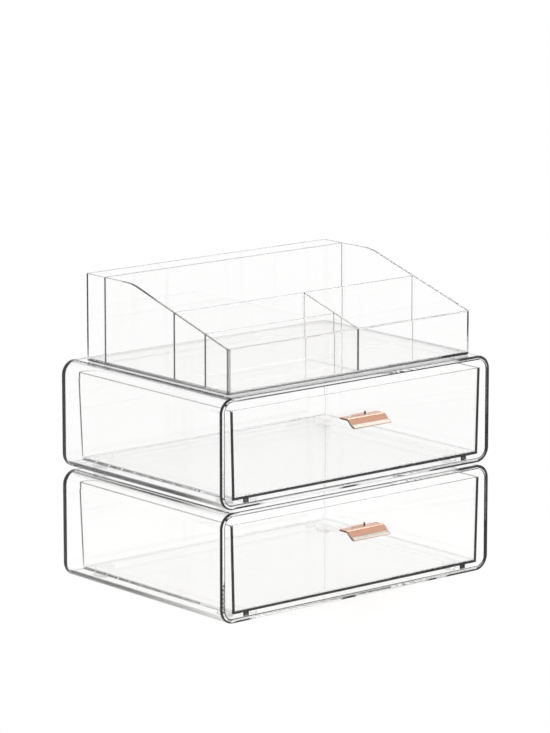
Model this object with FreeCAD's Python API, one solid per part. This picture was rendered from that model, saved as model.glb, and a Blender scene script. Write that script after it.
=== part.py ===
import FreeCAD, Part
import math
import os

# Acrylic organizer: two clear drawer units stacked on each other and an open tray on top.
# Millimetres. +Z is up, the drawers open towards -Y, +X is to the right of someone facing them.
# The origin is at the middle of the whole object's footprint, on the surface it stands on.

Vector = FreeCAD.Vector

# Sleeve: the casing of one drawer unit
SLEEVE_WIDTH = 280.0
SLEEVE_DEPTH = 201.5
SLEEVE_HEIGHT = 87.7
SLEEVE_SIDE_WALL = 4.2
SLEEVE_TOP_WALL = 3.4
SLEEVE_FLOOR = 3.6
SLEEVE_BACK_WALL = 3.0
SLEEVE_CORNER_RADIUS = 12.0
SLEEVE_BACK_EDGE_RADIUS = 2.0
SLEEVE_RIM_EDGE_RADIUS = 0.8

# Feet under each sleeve, and the dimples that they stand in
FOOT_DIAMETER = 12.0
FOOT_HEIGHT = 3.35
FOOT_INSET = 22.5
FOOT_EDGE_RADIUS = 0.6
FOOT_STEM_DIAMETER = 5.0
FOOT_STEM_LENGTH = 2.0
DIMPLE_DEPTH = 1.0
DIMPLE_CLEARANCE = 0.4
BOND_GAP = 0.1

# Stop pegs in the sleeve's floor
STOP_DIAMETER = 5.5
STOP_HEIGHT = 2.2
STOP_SEAT_DEPTH = 2.8
STOP_RUNNER_OFFSET = 9.2
STOP_SETBACK = 3.8
STOP_EDGE_RADIUS = 0.4

# Drawer tub
TUB_WALL = 2.2
TUB_FLOOR = 2.2
TUB_SIDE_CLEARANCE = 5.5
TUB_TOP_CLEARANCE = 6.5
TUB_BACK_CLEARANCE = 7.6
TUB_DRAFT = 1.8
TUB_FRONT_RECESS = 0.1
TUB_BACK_CORNER_RADIUS = 3.5
TUB_FRONT_CORNER_RADIUS = 1.6
TUB_BOTTOM_EDGE_RADIUS = 1.0
TUB_RIM_EDGE_RADIUS = 0.4

# Runners and catches under the tub
RUNNER_WIDTH = 5.2
RUNNER_HEIGHT = 3.35
RUNNER_SIDE_INSET = 14.6
RUNNER_END_MARGIN = 3.0
RUNNER_EDGE_RADIUS = 0.5
CATCH_WIDTH = 8.0
CATCH_LENGTH = 4.0
CATCH_HEIGHT = 2.6
CATCH_SETBACK = 6.0
STOP_CLEARANCE = 0.5

# Handle: a bent metal lip whose tongue passes through the drawer front
HANDLE_WIDTH = 39.0
HANDLE_THICKNESS = 1.6
HANDLE_REACH = 16.8
HANDLE_DROP = 20.8
HANDLE_STEEP_ANGLE = 42.0
HANDLE_LIP_ANGLE = 27.0
HANDLE_STEEP_RUN = 5.8
HANDLE_LIP_RUN = 4.0
HANDLE_BEND_RADIUS = 4.5
HANDLE_EDGE_RADIUS = 0.45
TONGUE_WIDTH = 14.2
TONGUE_LENGTH = 3.0
SLOT_SIDE_CLEARANCE = 0.3
SLOT_TOP_CLEARANCE = 1.5

# Tray
TRAY_WIDTH = 251.8
TRAY_DEPTH = 178.6
TRAY_FRONT_HEIGHT = 35.8
TRAY_BACK_HEIGHT = 71.2
TRAY_HIGH_SIDE_LENGTH = 59.3
TRAY_FRONT_SETBACK = 8.1
TRAY_WALL = 2.2
TRAY_FLOOR = 2.4
TRAY_SHOULDER_RADIUS = 50.0
TRAY_TOE_RADIUS = 1.5
TRAY_CORNER_RADIUS = 2.6
TRAY_BOTTOM_EDGE_RADIUS = 1.6
DIVIDER_THICKNESS = 2.0
PALETTE_SLOT = 20.7
FRONT_CELL = 26.3
MIDDLE_CELL = 36.0
CENTRE_DIVIDER_OFFSET = 7.3
LOCATOR_HEIGHT = 0.9

# Drawer travel follows from the catches and the stop pegs
OVERALL_DEPTH = SLEEVE_DEPTH - TUB_FRONT_RECESS + HANDLE_REACH
SLEEVE_BACK_Y = OVERALL_DEPTH / 2.0
SLEEVE_FRONT_Y = SLEEVE_BACK_Y - SLEEVE_DEPTH
UNIT_PITCH = SLEEVE_HEIGHT + FOOT_HEIGHT - DIMPLE_DEPTH
TUB_FRONT_Y = SLEEVE_FRONT_Y + TUB_FRONT_RECESS
TUB_BACK_Y = SLEEVE_BACK_Y - SLEEVE_BACK_WALL - TUB_BACK_CLEARANCE
TUB_HALF_WIDTH = SLEEVE_WIDTH / 2.0 - SLEEVE_SIDE_WALL - TUB_SIDE_CLEARANCE
TUB_BOTTOM_Z = SLEEVE_FLOOR + RUNNER_HEIGHT
TUB_TOP_Z = SLEEVE_HEIGHT - SLEEVE_TOP_WALL - TUB_TOP_CLEARANCE
TUB_HEIGHT = TUB_TOP_Z - TUB_BOTTOM_Z
CATCH_BACK_Y = TUB_BACK_Y - TUB_DRAFT - CATCH_SETBACK
STOP_Y = SLEEVE_FRONT_Y + STOP_SETBACK
RUNNER_X = TUB_HALF_WIDTH - TUB_DRAFT - RUNNER_SIDE_INSET
STOP_X = RUNNER_X - STOP_RUNNER_OFFSET
DRAWER_TRAVEL = CATCH_BACK_Y - CATCH_LENGTH - STOP_Y - STOP_DIAMETER / 2.0 - STOP_CLEARANCE
HANDLE_TOP_Z = TUB_TOP_Z - HANDLE_DROP + HANDLE_THICKNESS / 2.0
TRAY_BOTTOM_Z = FOOT_HEIGHT + UNIT_PITCH + SLEEVE_HEIGHT
TRAY_FRONT_Y = SLEEVE_FRONT_Y + TRAY_FRONT_SETBACK
TRAY_BACK_Y = TRAY_FRONT_Y + TRAY_DEPTH
FOOT_PLACES = [
    (side * (SLEEVE_WIDTH / 2.0 - FOOT_INSET), place_y)
    for side in (-1, 1)
    for place_y in (SLEEVE_FRONT_Y + FOOT_INSET, SLEEVE_BACK_Y - FOOT_INSET)
]
STOP_PLACES = [(side * STOP_X, STOP_Y) for side in (-1, 1)]


def on_xy(height):
    """Places an outline's (u, v) at x = u, y = v and this height."""
    return lambda u, v: Vector(u, v, height)


def on_xz(depth):
    """Places an outline's (u, v) at x = u, z = v and this y."""
    return lambda u, v: Vector(u, depth, v)


def on_yz(across):
    """Places an outline's (u, v) at y = u, z = v and this x."""
    return lambda u, v: Vector(across, u, v)


def rounded_outline(corners, radii, place):
    """Closed wire through the corners, each rounded by its own radius; a radius of 0 stays sharp."""
    flat = on_xy(0.0)
    starts = []
    middles = []
    ends = []
    count = len(corners)
    for index, radius in enumerate(radii):
        corner = flat(*corners[index])
        to_last = (flat(*corners[index - 1]) - corner).normalize()
        to_next = (flat(*corners[(index + 1) % count]) - corner).normalize()
        half_angle = to_last.getAngle(to_next) / 2.0
        inward = (to_last + to_next).normalize()
        tangent_length = radius / math.tan(half_angle)
        starts.append(corner + to_last * tangent_length)
        ends.append(corner + to_next * tangent_length)
        middles.append(corner + inward * (radius / math.sin(half_angle) - radius))
    edges = []
    for index, radius in enumerate(radii):
        start, middle, end = (place(p.x, p.y) for p in (starts[index], middles[index], ends[index]))
        if radius > 0.0:
            edges.append(Part.Arc(start, middle, end).toShape())
        following = starts[(index + 1) % count]
        edges.append(Part.LineSegment(end, place(following.x, following.y)).toShape())
    return Part.Wire(edges)


def rectangle(low_u, high_u, low_v, high_v):
    """Corners of a rectangle, anticlockwise from its low corner."""
    return [(low_u, low_v), (high_u, low_v), (high_u, high_v), (low_u, high_v)]


def prism(wire, direction):
    """Solid swept from a flat closed wire along a vector."""
    return Part.Face(wire).extrude(direction)


def box_between(low, high):
    """Box from its low corner to its high corner."""
    size = Vector(*high) - Vector(*low)
    return Part.makeBox(size.x, size.y, size.z, Vector(*low))


def disc(diameter, low_z, high_z, place):
    """Upright cylinder centred on a place in plan."""
    return Part.makeCylinder(diameter / 2.0, high_z - low_z, Vector(place[0], place[1], low_z))


def edges_at(shape, axis, value):
    """Edges that lie wholly in the plane where the axis has this value."""
    near = 1e-4
    low = axis + "Min"
    high = axis + "Max"
    return [
        edge
        for edge in shape.Edges
        if abs(getattr(edge.BoundBox, low) - value) < near and abs(getattr(edge.BoundBox, high) - value) < near
    ]


def sleeve():
    """Casing with rounded long corners, closed at the back, with dimples on top and seats below."""
    outer_wire = rounded_outline(
        rectangle(-SLEEVE_WIDTH / 2.0, SLEEVE_WIDTH / 2.0, 0.0, SLEEVE_HEIGHT),
        [SLEEVE_CORNER_RADIUS] * 4,
        on_xz(SLEEVE_FRONT_Y),
    )
    inner_half = SLEEVE_WIDTH / 2.0 - SLEEVE_SIDE_WALL
    inner_wire = rounded_outline(
        rectangle(-inner_half, inner_half, SLEEVE_FLOOR, SLEEVE_HEIGHT - SLEEVE_TOP_WALL),
        [SLEEVE_CORNER_RADIUS - SLEEVE_SIDE_WALL] * 4,
        on_xz(SLEEVE_FRONT_Y),
    )
    outer = prism(outer_wire, Vector(0, SLEEVE_DEPTH, 0))
    outer = outer.makeFillet(SLEEVE_BACK_EDGE_RADIUS, edges_at(outer, "Y", SLEEVE_BACK_Y))
    shell = outer.cut(prism(inner_wire, Vector(0, SLEEVE_DEPTH - SLEEVE_BACK_WALL, 0)))
    shell = shell.makeFillet(SLEEVE_RIM_EDGE_RADIUS, edges_at(shell, "Y", SLEEVE_FRONT_Y))
    dimple_diameter = FOOT_DIAMETER + 2.0 * DIMPLE_CLEARANCE
    stem_hole_diameter = FOOT_STEM_DIAMETER + 2.0 * BOND_GAP
    stop_hole_diameter = STOP_DIAMETER + 2.0 * BOND_GAP
    pockets = [disc(dimple_diameter, SLEEVE_HEIGHT - DIMPLE_DEPTH, SLEEVE_HEIGHT, place) for place in FOOT_PLACES]
    pockets += [disc(stem_hole_diameter, 0.0, FOOT_STEM_LENGTH, place) for place in FOOT_PLACES]
    pockets += [
        disc(stop_hole_diameter, SLEEVE_FLOOR - STOP_SEAT_DEPTH, SLEEVE_FLOOR, place) for place in STOP_PLACES
    ]
    return shell.cut(Part.makeCompound(pockets))


def feet():
    """Four round feet, each with a stem that fills its hole in the sleeve's underside."""
    solids = []
    for place in FOOT_PLACES:
        pad = disc(FOOT_DIAMETER, -FOOT_HEIGHT, 0.0, place)
        pad = pad.makeFillet(FOOT_EDGE_RADIUS, edges_at(pad, "Z", -FOOT_HEIGHT))
        solids.append(pad.fuse(disc(FOOT_STEM_DIAMETER, 0.0, FOOT_STEM_LENGTH, place)))
    return Part.makeCompound(solids)


def stop_pegs():
    """Two pegs that stand in the sleeve's floor and stop the drawer's catches."""
    top = SLEEVE_FLOOR + STOP_HEIGHT
    solids = []
    for place in STOP_PLACES:
        peg = disc(STOP_DIAMETER, SLEEVE_FLOOR - STOP_SEAT_DEPTH, top, place)
        solids.append(peg.makeFillet(STOP_EDGE_RADIUS, edges_at(peg, "Z", top)))
    return Part.makeCompound(solids)


def tub_outline(height, inset):
    """Plan outline of the tub at a height above its underside, drawn in by an inset."""
    draft = TUB_DRAFT * (1.0 - height / TUB_HEIGHT)
    half_width = TUB_HALF_WIDTH - draft - inset
    front_radius = max(TUB_FRONT_CORNER_RADIUS - inset, TUB_RIM_EDGE_RADIUS)
    back_radius = max(TUB_BACK_CORNER_RADIUS - inset, TUB_RIM_EDGE_RADIUS)
    return rounded_outline(
        rectangle(-half_width, half_width, TUB_FRONT_Y + inset, TUB_BACK_Y - draft - inset),
        [front_radius, front_radius, back_radius, back_radius],
        on_xy(TUB_BOTTOM_Z + height),
    )


def drawer_tub():
    """Open drawer whose side and back walls lean out towards the rim, slotted for the handle."""
    outer = Part.makeLoft([tub_outline(0.0, 0.0), tub_outline(TUB_HEIGHT, 0.0)], True, True)
    outer = outer.makeFillet(TUB_BOTTOM_EDGE_RADIUS, edges_at(outer, "Z", TUB_BOTTOM_Z))
    hollow = Part.makeLoft([tub_outline(TUB_FLOOR, TUB_WALL), tub_outline(TUB_HEIGHT, TUB_WALL)], True, True)
    tub = outer.cut(hollow)
    tub = tub.makeFillet(TUB_RIM_EDGE_RADIUS, edges_at(tub, "Z", TUB_TOP_Z))
    slot_half_width = TONGUE_WIDTH / 2.0 + SLOT_SIDE_CLEARANCE
    slot = box_between(
        (-slot_half_width, TUB_FRONT_Y, HANDLE_TOP_Z - HANDLE_THICKNESS),
        (slot_half_width, TUB_FRONT_Y + TUB_WALL, HANDLE_TOP_Z + SLOT_TOP_CLEARANCE),
    )
    return tub.cut(slot)


def drawer_runners():
    """Two strips under the tub, with eased lower edges, that slide on the sleeve's floor."""
    solids = []
    for side in (-1, 1):
        middle = side * RUNNER_X
        section = rounded_outline(
            rectangle(middle - RUNNER_WIDTH / 2.0, middle + RUNNER_WIDTH / 2.0, SLEEVE_FLOOR, TUB_BOTTOM_Z),
            [RUNNER_EDGE_RADIUS, RUNNER_EDGE_RADIUS, 0.0, 0.0],
            on_xz(TUB_FRONT_Y + TUB_BOTTOM_EDGE_RADIUS),
        )
        length = TUB_BACK_Y - TUB_DRAFT - RUNNER_END_MARGIN - TUB_FRONT_Y - TUB_BOTTOM_EDGE_RADIUS
        solids.append(prism(section, Vector(0, length, 0)))
    return Part.makeCompound(solids)


def drawer_catches():
    """Two blocks near the back of the tub's underside that meet the stop pegs."""
    solids = []
    for place_x, _ in STOP_PLACES:
        solids.append(
            box_between(
                (place_x - CATCH_WIDTH / 2.0, CATCH_BACK_Y - CATCH_LENGTH, TUB_BOTTOM_Z - CATCH_HEIGHT),
                (place_x + CATCH_WIDTH / 2.0, CATCH_BACK_Y, TUB_BOTTOM_Z),
            )
        )
    return Part.makeCompound(solids)


def handle_path():
    """Corners of the handle's top line, from the drawer front to the lip's end, as (y, z)."""
    steep = math.radians(HANDLE_STEEP_ANGLE)
    lip = math.radians(HANDLE_LIP_ANGLE)
    steep_reach = HANDLE_STEEP_RUN * math.cos(steep)
    lip_reach = HANDLE_LIP_RUN * math.cos(lip)
    first_bend = TUB_FRONT_Y - (HANDLE_REACH - steep_reach - lip_reach)
    steep_end_z = HANDLE_TOP_Z - HANDLE_STEEP_RUN * math.sin(steep)
    lip_end_z = steep_end_z - HANDLE_LIP_RUN * math.sin(lip)
    return [
        (TUB_FRONT_Y, HANDLE_TOP_Z),
        (first_bend, HANDLE_TOP_Z),
        (first_bend - steep_reach, steep_end_z),
        (TUB_FRONT_Y - HANDLE_REACH, lip_end_z),
    ]


def handle_underside(path):
    """Corners of the line one thickness under the handle's top line, cut plumb at both ends."""
    steep = math.radians(HANDLE_STEEP_ANGLE)
    lip = math.radians(HANDLE_LIP_ANGLE)
    back, first_bend, second_bend, front = path
    first_shift = HANDLE_THICKNESS * math.tan(steep / 2.0)
    mean_angle = (steep + lip) / 2.0
    second_shift = HANDLE_THICKNESS / math.cos((steep - lip) / 2.0)
    return [
        (back[0], back[1] - HANDLE_THICKNESS),
        (first_bend[0] + first_shift, first_bend[1] - HANDLE_THICKNESS),
        (
            second_bend[0] + second_shift * math.sin(mean_angle),
            second_bend[1] - second_shift * math.cos(mean_angle),
        ),
        (front[0], front[1] - HANDLE_THICKNESS / math.cos(lip)),
    ]


def handle():
    """Bent lip with its tongue, which runs back through the slot."""
    top = handle_path()
    bottom = handle_underside(top)
    outer_bend = HANDLE_BEND_RADIUS
    inner_bend = HANDLE_BEND_RADIUS - HANDLE_THICKNESS
    edge = HANDLE_EDGE_RADIUS
    section = rounded_outline(
        top + bottom[::-1],
        [0.0, outer_bend, inner_bend, edge, edge, outer_bend, inner_bend, 0.0],
        on_yz(-HANDLE_WIDTH / 2.0),
    )
    lip = prism(section, Vector(HANDLE_WIDTH, 0, 0))
    tongue = box_between(
        (-TONGUE_WIDTH / 2.0, TUB_FRONT_Y, HANDLE_TOP_Z - HANDLE_THICKNESS),
        (TONGUE_WIDTH / 2.0, TUB_FRONT_Y + TONGUE_LENGTH, HANDLE_TOP_Z),
    )
    return lip.fuse(tongue).removeSplitter()


def tray_side_silhouette():
    """Prism of the tray's side view: low front, sloped sides with a soft shoulder, high back."""
    wire = rounded_outline(
        [
            (TRAY_FRONT_Y, TRAY_BOTTOM_Z),
            (TRAY_BACK_Y, TRAY_BOTTOM_Z),
            (TRAY_BACK_Y, TRAY_BOTTOM_Z + TRAY_BACK_HEIGHT),
            (TRAY_BACK_Y - TRAY_HIGH_SIDE_LENGTH, TRAY_BOTTOM_Z + TRAY_BACK_HEIGHT),
            (TRAY_FRONT_Y, TRAY_BOTTOM_Z + TRAY_FRONT_HEIGHT),
        ],
        [0.0, 0.0, TRAY_TOE_RADIUS, TRAY_SHOULDER_RADIUS, TRAY_TOE_RADIUS],
        on_yz(-TRAY_WIDTH / 2.0),
    )
    return prism(wire, Vector(TRAY_WIDTH, 0, 0))


def tray_shell(silhouette):
    """Tray base and its four outer walls."""
    half = TRAY_WIDTH / 2.0
    outer_wire = rounded_outline(
        rectangle(-half, half, TRAY_FRONT_Y, TRAY_BACK_Y), [TRAY_CORNER_RADIUS] * 4, on_xy(TRAY_BOTTOM_Z)
    )
    block = prism(outer_wire, Vector(0, 0, TRAY_BACK_HEIGHT))
    block = block.makeFillet(TRAY_BOTTOM_EDGE_RADIUS, edges_at(block, "Z", TRAY_BOTTOM_Z))
    inner_wire = rounded_outline(
        rectangle(-half + TRAY_WALL, half - TRAY_WALL, TRAY_FRONT_Y + TRAY_WALL, TRAY_BACK_Y - TRAY_WALL),
        [TRAY_CORNER_RADIUS - TRAY_WALL] * 4,
        on_xy(TRAY_BOTTOM_Z + TRAY_FLOOR),
    )
    return block.common(silhouette).cut(prism(inner_wire, Vector(0, 0, TRAY_BACK_HEIGHT)))


def tray_dividers(silhouette):
    """The four upright walls inside the tray, each cut to the side walls' top line."""
    left = -TRAY_WIDTH / 2.0 + TRAY_WALL
    right = TRAY_WIDTH / 2.0 - TRAY_WALL
    low = TRAY_BOTTOM_Z + TRAY_FLOOR
    high = TRAY_BOTTOM_Z + TRAY_BACK_HEIGHT
    palette_y = TRAY_BACK_Y - TRAY_WALL - PALETTE_SLOT - DIVIDER_THICKNESS
    front_y = TRAY_FRONT_Y + TRAY_WALL + FRONT_CELL
    cross_y = front_y + DIVIDER_THICKNESS + MIDDLE_CELL
    centre_x = CENTRE_DIVIDER_OFFSET - DIVIDER_THICKNESS / 2.0
    plates = {
        "tray_palette_divider": box_between((left, palette_y, low), (right, palette_y + DIVIDER_THICKNESS, high)),
        "tray_cross_divider": box_between((left, cross_y, low), (right, cross_y + DIVIDER_THICKNESS, high)),
        "tray_front_divider": box_between((left, front_y, low), (centre_x, front_y + DIVIDER_THICKNESS, high)),
        "tray_centre_divider": box_between(
            (centre_x, TRAY_FRONT_Y + TRAY_WALL, low), (centre_x + DIVIDER_THICKNESS, cross_y, high)
        ),
    }
    return {name: plate.common(silhouette) for name, plate in plates.items()}


def tray_locators():
    """Four pads under the tray that drop into the dimples of the unit below."""
    pads = [disc(FOOT_DIAMETER, TRAY_BOTTOM_Z - LOCATOR_HEIGHT, TRAY_BOTTOM_Z, place) for place in FOOT_PLACES]
    return Part.makeCompound(pads)


def save(name, shape):
    """Writes one node's solids to parts/NAME.step."""
    shape.exportStep("parts/" + name + ".step")


def main():
    """Builds every node: the same drawer unit twice, then the tray."""
    os.makedirs("parts", exist_ok=True)
    unit_pieces = {
        "sleeve": sleeve(),
        "feet": feet(),
        "drawer_stops": stop_pegs(),
        "drawer_tub": drawer_tub(),
        "drawer_runners": drawer_runners(),
        "drawer_catches": drawer_catches(),
        "handle": handle(),
    }
    for level, height in (("lower", FOOT_HEIGHT), ("upper", FOOT_HEIGHT + UNIT_PITCH)):
        for piece, shape in unit_pieces.items():
            save(level + "_" + piece, shape.translated(Vector(0, 0, height)))
    silhouette = tray_side_silhouette()
    save("tray_shell", tray_shell(silhouette))
    for name, plate in tray_dividers(silhouette).items():
        save(name, plate)
    save("tray_locators", tray_locators())
    print("drawer travel", round(DRAWER_TRAVEL, 3))


main()
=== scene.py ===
import logging
import math
from dataclasses import dataclass
from enum import Enum
from typing import Callable, Sequence

import bpy
import numpy as np
from mathutils import Matrix, Vector


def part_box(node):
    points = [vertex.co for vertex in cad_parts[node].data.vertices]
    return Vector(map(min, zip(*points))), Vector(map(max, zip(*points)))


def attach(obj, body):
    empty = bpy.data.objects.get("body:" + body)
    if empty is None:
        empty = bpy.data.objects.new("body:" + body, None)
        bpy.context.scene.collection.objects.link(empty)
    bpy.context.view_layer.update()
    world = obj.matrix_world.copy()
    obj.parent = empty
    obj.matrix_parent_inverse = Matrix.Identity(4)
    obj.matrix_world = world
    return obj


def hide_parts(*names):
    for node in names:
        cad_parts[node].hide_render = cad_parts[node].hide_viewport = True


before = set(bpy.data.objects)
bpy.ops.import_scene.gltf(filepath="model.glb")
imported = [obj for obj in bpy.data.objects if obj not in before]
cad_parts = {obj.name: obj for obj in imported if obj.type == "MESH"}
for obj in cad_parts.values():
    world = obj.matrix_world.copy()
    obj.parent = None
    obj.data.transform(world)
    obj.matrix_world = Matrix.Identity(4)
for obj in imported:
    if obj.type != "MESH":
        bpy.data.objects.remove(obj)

Pair = tuple[float, float]
Triple = tuple[float, float, float]
Steps = tuple[Pair, ...]
Array = np.ndarray
Items = bpy.types.bpy_prop_collection
Tree = bpy.types.NodeTree

log = logging.getLogger("organizer")

MM = 0.001
BOND_GAP = 0.00005
# A ring beside a rounded edge is a GUARD away from it, and a painted dark line of edge shade is an EDGE_LINE
# wide.
GUARD = 0.3 * MM
EDGE_LINE = 0.9 * MM
CASING_FLOOR = 3.6 * MM
FOOT_INSET = 22.5 * MM
PAD_RADIUS = 6.0 * MM
SMALLEST_RADIUS = 1e-5
CUT_MARGIN = 1e-5
SHARP_ANGLE = 38.0
# Mesh attribute of painted shading: above 0 a painted edge shade, below 0 the painted pale reflection on a
# handle's lip.
PAINTED_SHADING = "painted_shading"
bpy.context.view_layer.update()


class Level(Enum):
    """The two drawer units, by the prefix of their nodes."""

    LOWER = "lower"
    UPPER = "upper"


class Plane(Enum):
    """Which way a flat outline's (u, v) and its stations w lie in space."""

    XY = (0, 1, 2)
    XZ = (0, 2, 1)
    YZ = (1, 2, 0)


def new_object(name: str, data: bpy.types.ID) -> bpy.types.Object:
    """Links a new object into the scene."""
    obj = bpy.data.objects.new(name, data)
    bpy.context.scene.collection.objects.link(obj)
    return obj


# ---- surfaces


def outline(
    corners: Sequence[Pair],
    radii: float | Sequence[float],
    inset: float = 0.0,
    arc_steps: int = 10,
    edge_steps: int = 1,
    near: Sequence[float] = (),
) -> Array:
    """Closed loop round a convex polygon whose corners are rounded.

    Each edge is moved inwards by the inset. With the inward normals a and b of the two edges at a corner and
    k = (a + b) / (1 + a.b), the corner moves by inset * k and the arc's centre lies r * k further in. The arc
    is centre - r * n, where n turns evenly from a to b.

    Args:
        corners: The polygon's corners, anticlockwise.
        radii: The corners' radii before the inset, one for all or one each.
        inset: How far every edge is moved inwards; negative moves it out.
        arc_steps: Steps along each corner's arc.
        edge_steps: Steps along each straight edge.
        near: Distances from each end of the straight edges at which there are further points.

    Returns:
        Points as an (n, 2) array, as many on each loop with the same steps.
    """
    p = np.asarray(corners, float)
    ahead = np.roll(p, -1, axis=0) - p
    ahead /= np.linalg.norm(ahead, axis=1, keepdims=True)
    after = np.stack([-ahead[:, 1], ahead[:, 0]], 1)
    before = np.roll(after, 1, axis=0)
    inward = (before + after) / (1.0 + (before * after).sum(1, keepdims=True))
    r = np.maximum(np.full(len(p), radii) - inset, SMALLEST_RADIUS)[:, None]
    centre = p + inset * inward + r * inward
    start = np.arctan2(before[:, 1], before[:, 0])
    turn = np.mod(np.arctan2(after[:, 1], after[:, 0]) - start, 2 * math.pi)
    angle = start[:, None] + turn[:, None] * np.linspace(0.0, 1.0, arc_steps + 1)
    arcs = centre[:, None, :] - r[:, None, :] * np.stack([np.cos(angle), np.sin(angle)], 2)
    first, last = np.roll(arcs[:, 0], -1, axis=0)[:, None, :], arcs[:, -1][:, None, :]
    run = np.linalg.norm(first - last, axis=2)
    close = np.asarray(near, float)[None, :] / run
    margin = max(near, default=0.0) / run
    even = margin + (1 - 2 * margin) * np.arange(1, edge_steps) / edge_steps
    along = np.concatenate([close, even, 1 - close[:, ::-1]], 1)[:, :, None]
    straights = last + (first - last) * along
    return np.concatenate([arcs, straights], 1).reshape(-1, 2)


def rectangle(low: Pair, high: Pair) -> list[Pair]:
    """Corners of a rectangle, anticlockwise from its low corner."""
    return [low, (high[0], low[1]), high, (low[0], high[1])]


def quarter(radius: float, steps: int) -> tuple[Array, Array]:
    """A quarter round as (inset, rise) pairs, from the flat face's end (r, 0) to the wall's end (0, r).

    inset = r (1 - sin t) and rise = r (1 - cos t) as t runs from 0 to a right angle.
    """
    t = np.linspace(0.0, math.pi / 2, steps + 1)
    return radius * (1 - np.sin(t)), radius * (1 - np.cos(t))


def rounded_ends(low: float, high: float, edge: float) -> tuple[Array, Array]:
    """Insets and stations from low to high with a quarter round at each end and no inset between them."""
    inset, rise = quarter(edge, 3)
    return np.concatenate([inset, inset[::-1]]), np.concatenate([low + rise, high - rise[::-1]])


@dataclass
class Loft:
    """Loops of equal length stacked along stations, skinned with quads and closed by flat ends."""

    rings: Array
    # shade: each point's painted shading, a dark painted edge shade above 0 and a painted pale reflection
    # below 0.
    shade: Array

    @staticmethod
    def through(loops: Sequence[Array], stations: Sequence, plane: Plane, shade: Sequence) -> "Loft":
        """Places flat loops in space.

        Args:
            loops: One (n, 2) loop for each station.
            stations: The third coordinate of each loop, a number or n numbers.
            plane: Which axes the loops and the stations lie along.
            shade: The painted edge shade of each loop, numbers or (n,) arrays.

        Returns:
            The loft, with rings as an (m, n, 3) array.
        """
        flat = np.stack([np.asarray(l, float) for l in loops])
        m, n = flat.shape[:2]
        rings = np.empty((m, n, 3))
        u, v, w = plane.value
        rings[:, :, u], rings[:, :, v] = flat[:, :, 0], flat[:, :, 1]
        rings[:, :, w] = np.stack([np.broadcast_to(np.asarray(s, float), n) for s in stations])
        return Loft(rings, np.stack([np.broadcast_to(np.asarray(t, float), n) for t in shade]))


def slab(
    corners: Sequence[Pair],
    radii: float | Sequence[float],
    low: float,
    high: float,
    plane: Plane,
    edge: float,
    shade: float | Callable[[Array], Array] = 0.0,
    arc_steps: int = 8,
    near: Sequence[float] = (),
) -> Loft:
    """Flat plate with an outline and both of its long edges rounded.

    The outline is carried from low to high. Near each end it is inset by a quarter round of radius edge.

    Args:
        corners: Outline's corners, anticlockwise.
        radii: The corners' radii.
        low: First station.
        high: Last station.
        plane: Which axes the outline and the stations lie along.
        edge: Radius of the rounded edges.
        shade: Painted edge shade on the narrow sides, or a function that gives it from the outline's points.
        arc_steps: Steps along each corner.
        near: Where the straight edges have further points, as in outline.

    Returns:
        The closed plate.
    """
    insets, stations = rounded_ends(low, high, edge)
    loops = [outline(corners, radii, i, arc_steps, 1, near) for i in insets]
    side = shade(loops[len(loops) // 2]) if callable(shade) else shade
    return Loft.through(loops, stations, plane, [0.0] + [side] * (len(insets) - 2) + [0.0])


def discs(
    places: Sequence[Pair], radius: float, low: float, high: float, edge: float, shade: float
) -> list[Loft]:
    """Upright round pads with rounded rims, as circles of radius r - inset stacked along Z at each place."""
    turn = np.linspace(0.0, 2 * math.pi, 48, endpoint=False)
    circle = np.stack([np.cos(turn), np.sin(turn)], 1)
    insets, stations = rounded_ends(low, high, edge)
    # Painted edge shade on the rim's rings, none on the two flat ends.
    tones = [0.0] + [shade] * (len(insets) - 2) + [0.0]
    stacks = [[circle * (radius - i) + place for i in insets] for place in places]
    return [Loft.through(loops, stations, Plane.XY, tones) for loops in stacks]


def mesh_from(name: str, lofts: Sequence[Loft]) -> bpy.types.Mesh:
    """Skins lofts into one mesh whose faces point outwards.

    Quads join point j of ring i with its neighbours, and each end is one flat face. The sum of a.(b x c) over
    the triangles is six times the signed volume, and its sign tells which way a loft's faces point.

    Args:
        name: Name of the mesh.
        lofts: Closed surfaces.

    Returns:
        The mesh, with a float attribute for the painted shading.
    """
    points, corners, totals, tones, offset = [], [], [], [], 0
    for loft in lofts:
        m, n, _ = loft.rings.shape
        grid = np.arange(m * n).reshape(m, n)
        across = np.roll(grid, -1, axis=1)
        quads = np.stack([grid[:-1], across[:-1], across[1:], grid[1:]], 2).reshape(-1, 4)
        first, last = grid[0][::-1], grid[-1]
        flat = loft.rings.reshape(-1, 3)
        about = flat - flat.mean(0)
        a, b, c, d = (about[quads[:, k]] for k in range(4))
        ends = 0.0
        for ring in (first, last):
            e, f = about[ring], about[np.roll(ring, -1)]
            ends += (e.mean(0) * np.cross(e, f)).sum()
        volume = (a * np.cross(b, c)).sum() + (a * np.cross(c, d)).sum() + ends
        if volume < 0:
            quads, first, last = quads[:, ::-1], first[::-1], last[::-1]
        points.append(flat)
        tones.append(loft.shade.reshape(-1))
        corners += [quads.reshape(-1) + offset, first + offset, last + offset]
        totals += [np.full(len(quads), 4), [n], [n]]
        offset += m * n
    index, total = np.concatenate(corners), np.concatenate(totals)
    mesh = bpy.data.meshes.new(name)
    mesh.vertices.add(offset)
    mesh.vertices.foreach_set("co", np.concatenate(points).astype(np.float32).ravel())
    mesh.loops.add(len(index))
    mesh.loops.foreach_set("vertex_index", index.astype(np.int32))
    mesh.polygons.add(len(total))
    mesh.polygons.foreach_set("loop_start", (np.cumsum(total) - total).astype(np.int32))
    mesh.polygons.foreach_set("use_smooth", np.ones(len(total), bool))
    mesh.update(calc_edges=True)
    tone = mesh.attributes.new(PAINTED_SHADING, "FLOAT", "POINT")
    tone.data.foreach_set("value", np.concatenate(tones).astype(np.float32))
    mesh.validate()
    return mesh


def read(items: Items, what: str, width: int, kind: type) -> Array:
    """One property of many mesh elements, as a flat array with width numbers from each."""
    values = np.empty(len(items) * width, kind)
    items.foreach_get(what, values)
    return values


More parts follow.
